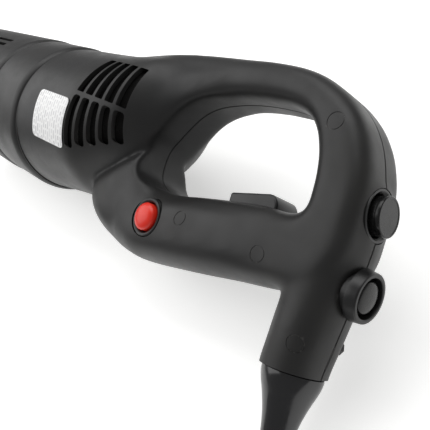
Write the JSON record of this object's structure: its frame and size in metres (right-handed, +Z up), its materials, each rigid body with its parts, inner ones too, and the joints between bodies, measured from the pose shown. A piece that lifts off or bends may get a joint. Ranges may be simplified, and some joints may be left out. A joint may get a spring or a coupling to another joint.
{
  "type": "concrete vibrator drive unit",
  "caption": "Hand-held electric drive unit of a concrete vibrator: round motor barrel, closed D-handle with trigger and push buttons, cable boot.",
  "frame": {"origin": "on the resting surface, below the middle of the tool's bounding box, with the tool lying on its side", "axes": "+X back along the motor axis towards the rear post, +Z up, -Y towards the cable boot"},
  "size_m": [0.502, 0.1828, 0.1118],
  "materials": {
    "housing_plastic": "textured moulded nylon",
    "black_plastic": "satin",
    "gloss_black": "gloss",
    "red_plastic": "gloss",
    "boot_rubber": "glossy moulded rubber",
    "label": "printed film",
    "circuit_board": "satin",
    "cast_aluminium": "die-cast",
    "steel": "turned",
    "laminated_steel": "laminated",
    "copper_winding": "enamelled wire",
    "commutator_copper": "turned copper",
    "fan_plastic": "moulded nylon",
    "brass": "pressed",
    "carbon": "carbon graphite"
  },
  "bodies": {
    "housing": {"front_collar": "housing_plastic", "motor_sleeve": "housing_plastic", "handle_shell_left": "housing_plastic", "handle_shell_right": "housing_plastic", "rating_label": "label", "switch_body": "black_plastic", "light_bezel": "gloss_black", "light_switch": "circuit_board", "enable_bezel": "black_plastic", "enable_switch": "circuit_board", "power_bezel": "black_plastic", "power_switch": "circuit_board", "cable_boot": "boot_rubber", "cable_clamp": "black_plastic", "nose_casting": "cast_aluminium", "shaft_socket": "steel", "stator": "laminated_steel", "field_winding_front": "copper_winding", "field_winding_rear": "copper_winding", "front_bearing": "steel", "rear_bearing": "steel", "rear_bracket": "fan_plastic", "brush_holder_upper": "brass", "brush_holder_lower": "brass", "carbon_brush_upper": "carbon", "carbon_brush_lower": "carbon", "shell_screw_1": "steel", "shell_screw_2": "steel", "shell_screw_3": "steel", "shell_screw_4": "steel", "shell_screw_5": "steel", "shell_screw_6": "steel"},
    "rotor": {"spindle": "steel", "rotor_core": "laminated_steel", "armature_winding_front": "copper_winding", "armature_winding_rear": "copper_winding", "commutator": "commutator_copper", "fan": "fan_plastic"},
    "trigger_body": {"trigger": "black_plastic"},
    "light_button_body": {"light_button": "red_plastic"},
    "enable_button_body": {"enable_button": "black_plastic"},
    "power_button_body": {"power_button": "black_plastic"}
  },
  "joints": [
    {"name": "rotor_spin", "type": "hinge", "parent": "housing", "child": "rotor", "pos_m": [-0.0247, 0.02635, 0.05589], "axis": [1, 0, 0], "continuous": true},
    {"name": "trigger_press", "type": "slide", "parent": "housing", "child": "trigger_body", "axis": [0.1867, -0.9003, -0.3933], "range_m": [0, 0.0045], "stiffness_N_per_m": 1500, "springref_m": -0.001},
    {"name": "light_press", "type": "slide", "parent": "housing", "child": "light_button_body", "axis": [0, 0.4003, -0.9164], "range_m": [0, 0.0015], "stiffness_N_per_m": 800, "springref_m": -0.0008},
    {"name": "enable_press", "type": "slide", "parent": "housing", "child": "enable_button_body", "axis": [-0.9971, -0.0703, -0.0307], "range_m": [0, 0.002], "stiffness_N_per_m": 800, "springref_m": -0.0008},
    {"name": "power_press", "type": "slide", "parent": "housing", "child": "power_button_body", "axis": [-0.9755, -0.2015, -0.088], "range_m": [0, 0.002], "stiffness_N_per_m": 800, "springref_m": -0.0008}
  ]
}
